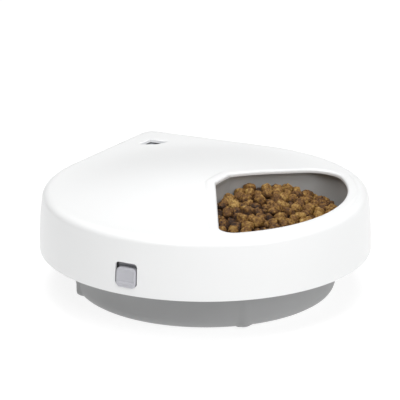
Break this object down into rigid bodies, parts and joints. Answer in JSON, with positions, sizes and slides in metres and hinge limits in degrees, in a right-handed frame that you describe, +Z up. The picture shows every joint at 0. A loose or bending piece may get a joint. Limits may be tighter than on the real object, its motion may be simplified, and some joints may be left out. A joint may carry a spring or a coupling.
{
  "type": "automatic pet feeder",
  "caption": "Round timed pet feeder: white domed lid with a pointed corner and one serving opening, over a turning grey bowl on a grey base.",
  "frame": {"origin": "middle of the footprint box at floor level", "axes": "+Y towards the pointed corner with the timer, +Z up; the serving opening is on the +X -Y side"},
  "size_m": [0.3, 0.3446, 0.1052],
  "materials": {
    "white_shell": "glossy white ABS with soft edges",
    "grey_shell": "fine-textured mid grey polypropylene",
    "latch_grey": "satin light grey ABS",
    "black_plastic": "matt black",
    "nylon": "natural nylon",
    "steel": "bright zinc plate",
    "brass": "bright",
    "rubber": "matt dark rubber",
    "ice": "translucent blue freezer pack",
    "board": "green solder mask",
    "lens": "clear hard-coated window over a pale grey display",
    "cell": "printed steel jacket",
    "kibble": "dry baked pet food, shown in the serving compartment"
  },
  "bodies": {
    "housing": {"base_pan": "grey_shell", "foot_front": "rubber", "foot_left": "rubber", "foot_right": "rubber", "foot_rear": "rubber", "base_deck": "grey_shell", "deck_screw_1": "steel", "deck_screw_2": "steel", "deck_screw_3": "steel", "deck_screw_4": "steel", "ice_pack_left": "ice", "ice_pack_right": "ice", "gearbox_tray": "nylon", "gearbox_cover": "nylon", "drive_motor": "steel", "gear_pin_first": "steel", "gear_pin_second": "steel", "spindle_bush": "brass", "index_switch": "black_plastic", "battery_bay": "grey_shell", "battery_1": "cell", "battery_2": "cell", "battery_3": "cell", "battery_4": "cell", "battery_contact_left": "brass", "battery_contact_right": "brass", "timer_housing": "grey_shell", "display_lens": "lens", "display_panel": "black_plastic", "timer_board": "board", "timer_lead": "black_plastic", "timer_screw_1": "steel", "timer_screw_2": "steel"},
    "turntable": {"bowl": "grey_shell", "drive_spindle": "nylon", "output_gear": "nylon", "index_cam": "black_plastic"},
    "second_gear": {"second_gear": "nylon"},
    "first_gear": {"first_gear": "nylon"},
    "motor_rotor": {"motor_pinion": "brass", "motor_shaft": "steel"},
    "lid": {"lid": "white_shell", "latch_pin_left": "steel", "latch_pin_right": "steel"},
    "latch_left": {"latch_left": "latch_grey"},
    "latch_right": {"latch_right": "latch_grey"},
    "key_set": {"key_set": "latch_grey"},
    "key_hour": {"key_hour": "latch_grey"},
    "key_minute": {"key_minute": "latch_grey"},
    "key_test": {"key_test": "latch_grey"},
    "battery_door": {"battery_door": "grey_shell"}
  },
  "joints": [
    {"name": "bowl_turn", "type": "hinge", "parent": "housing", "child": "turntable", "pos_m": [0, -0.02225, 0.05], "axis": [0, 0, 1], "continuous": true},
    {"name": "second_gear_turn", "type": "hinge", "parent": "housing", "child": "second_gear", "pos_m": [0, -0.04537, 0.025], "axis": [0, 0, 1], "continuous": true},
    {"name": "first_gear_turn", "type": "hinge", "parent": "housing", "child": "first_gear", "pos_m": [-0.01797, -0.05191, 0.022], "axis": [0, 0, 1], "continuous": true},
    {"name": "motor_turn", "type": "hinge", "parent": "housing", "child": "motor_rotor", "pos_m": [-0.02451, -0.03394, 0.02], "axis": [0, 0, 1], "continuous": true},
    {"name": "lid_lift", "type": "slide", "parent": "housing", "child": "lid", "axis": [0, 0, 1], "range_m": [0, 0.12]},
    {"name": "latch_left_press", "type": "hinge", "parent": "lid", "child": "latch_left", "pos_m": [-0.09885, -0.12641, 0.056], "axis": [-0.7254, 0.6884, 0], "range_deg": [0, 10], "stiffness_Nm_per_rad": 0.1, "springref_deg": -5.73},
    {"name": "latch_right_press", "type": "hinge", "parent": "lid", "child": "latch_right", "pos_m": [0.09885, 0.08191, 0.056], "axis": [0.7254, -0.6884, 0], "range_deg": [0, 10], "stiffness_Nm_per_rad": 0.1, "springref_deg": -5.73},
    {"name": "key_set_press", "type": "slide", "parent": "housing", "child": "key_set", "axis": [0, 0, -1], "range_m": [0, 0.0008], "stiffness_N_per_m": 800, "springref_m": -0.0005},
    {"name": "key_hour_press", "type": "slide", "parent": "housing", "child": "key_hour", "axis": [0, 0, -1], "range_m": [0, 0.0008], "stiffness_N_per_m": 800, "springref_m": -0.0005},
    {"name": "key_minute_press", "type": "slide", "parent": "housing", "child": "key_minute", "axis": [0, 0, -1], "range_m": [0, 0.0008], "stiffness_N_per_m": 800, "springref_m": -0.0005},
    {"name": "key_test_press", "type": "slide", "parent": "housing", "child": "key_test", "axis": [0, 0, -1], "range_m": [0, 0.0008], "stiffness_N_per_m": 800, "springref_m": -0.0005},
    {"name": "battery_door_open", "type": "hinge", "parent": "housing", "child": "battery_door", "pos_m": [0, 0.03795, 0.0033], "axis": [-1, 0, 0], "range_deg": [0, 75]}
  ],
  "couplings": [
    {"joint": "second_gear_turn", "follows": "bowl_turn", "ratio": -3.6},
    {"joint": "first_gear_turn", "follows": "bowl_turn", "ratio": 10.08},
    {"joint": "motor_turn", "follows": "bowl_turn", "ratio": -28.224}
  ]
}
